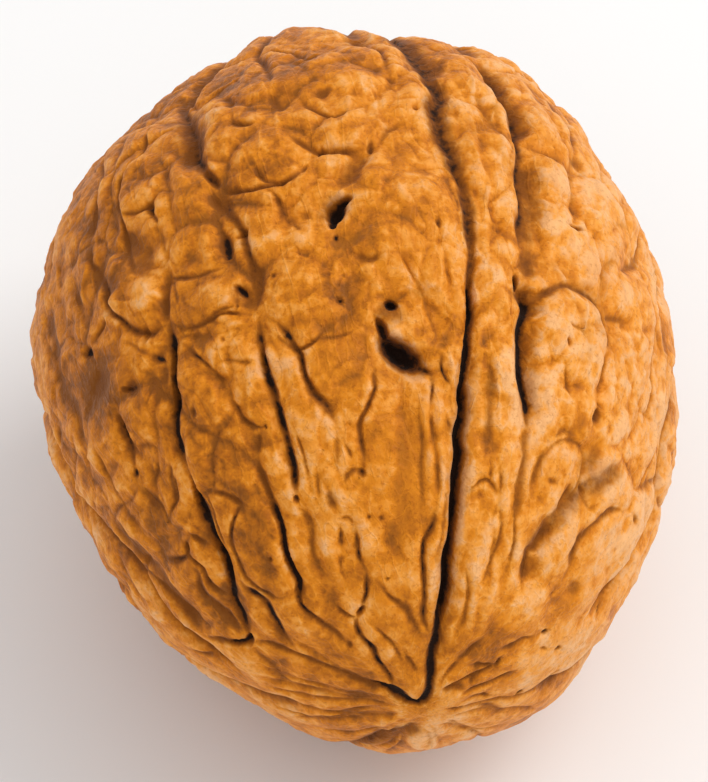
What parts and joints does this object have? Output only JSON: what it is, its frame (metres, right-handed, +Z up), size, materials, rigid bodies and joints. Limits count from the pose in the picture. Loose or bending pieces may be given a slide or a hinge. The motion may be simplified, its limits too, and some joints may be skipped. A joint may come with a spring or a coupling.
{
  "type": "walnut in shell",
  "caption": "Whole walnut in its closed shell, egg shaped with a wrinkled tan surface, a dark seam and a pointed tip, lying on its side.",
  "frame": {"origin": "middle of the nut's footprint, on the surface that it rests on", "axes": "+Z up out of the resting surface, +Y along the nut from the pointed tip toward the stem end, +X toward the right cheek seen from the tip"},
  "size_m": [0.0326, 0.0404, 0.0308],
  "materials": {
    "shell": "dry woody shell, matt on the ribs with a faint sheen, dark brown in the grooves"
  },
  "bodies": {
    "root": {"walnut": "shell"}
  },
  "joints": []
}
